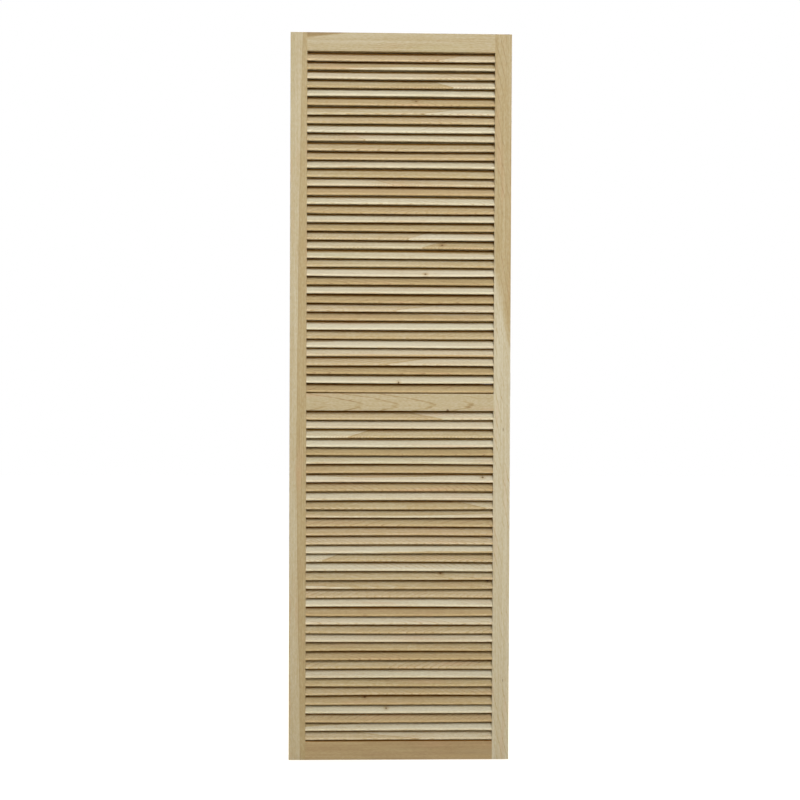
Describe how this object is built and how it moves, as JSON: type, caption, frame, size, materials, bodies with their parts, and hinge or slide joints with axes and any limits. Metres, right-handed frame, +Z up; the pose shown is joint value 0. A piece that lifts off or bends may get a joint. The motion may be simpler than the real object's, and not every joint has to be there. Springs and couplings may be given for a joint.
{
  "type": "bifold closet door",
  "caption": "Louvred wooden bifold closet door: two framed leaves with fixed slats, joined by butt hinges, shown folded",
  "frame": {"origin": "mouth of the pivot bore in the bottom of the front leaf", "axes": "+X along the leaf from the pivot side to the hinge side, +Y from the room face of the front leaf to the rear leaf, +Z up"},
  "size_m": [0.6134, 0.0643, 2.0066],
  "materials": {
    "stile_wood": "planed and sanded, unfinished",
    "rail_wood": "planed and sanded, unfinished",
    "slat_wood": "planed and sanded, unfinished",
    "dowel_wood": "turned, unfinished",
    "hinge_steel": "zinc plated",
    "screw_steel": "zinc plated"
  },
  "bodies": {
    "pivot_leaf": {"front_pivot_stile": "stile_wood", "front_hinge_stile": "stile_wood", "front_top_rail": "rail_wood", "front_middle_rail": "rail_wood", "front_bottom_rail": "rail_wood", "front_top_rail_dowels": "dowel_wood", "front_middle_rail_dowels": "dowel_wood", "front_bottom_rail_dowels": "dowel_wood", "front_upper_slats": "slat_wood", "front_lower_slats": "slat_wood", "top_hinge_front_plate": "hinge_steel", "top_hinge_front_screws": "screw_steel", "middle_hinge_front_plate": "hinge_steel", "middle_hinge_front_screws": "screw_steel", "bottom_hinge_front_plate": "hinge_steel", "bottom_hinge_front_screws": "screw_steel", "top_hinge_pin": "hinge_steel", "middle_hinge_pin": "hinge_steel", "bottom_hinge_pin": "hinge_steel"},
    "guide_leaf": {"rear_guide_stile": "stile_wood", "rear_hinge_stile": "stile_wood", "rear_top_rail": "rail_wood", "rear_middle_rail": "rail_wood", "rear_bottom_rail": "rail_wood", "rear_top_rail_dowels": "dowel_wood", "rear_middle_rail_dowels": "dowel_wood", "rear_bottom_rail_dowels": "dowel_wood", "rear_upper_slats": "slat_wood", "rear_lower_slats": "slat_wood", "top_hinge_rear_plate": "hinge_steel", "top_hinge_rear_screws": "screw_steel", "middle_hinge_rear_plate": "hinge_steel", "middle_hinge_rear_screws": "screw_steel", "bottom_hinge_rear_plate": "hinge_steel", "bottom_hinge_rear_screws": "screw_steel"}
  },
  "joints": [
    {"name": "leaf_fold", "type": "hinge", "parent": "pivot_leaf", "child": "guide_leaf", "pos_m": [0.59115, 0.01784, 0], "axis": [0, 0, -1], "range_deg": [0, 180]}
  ]
}
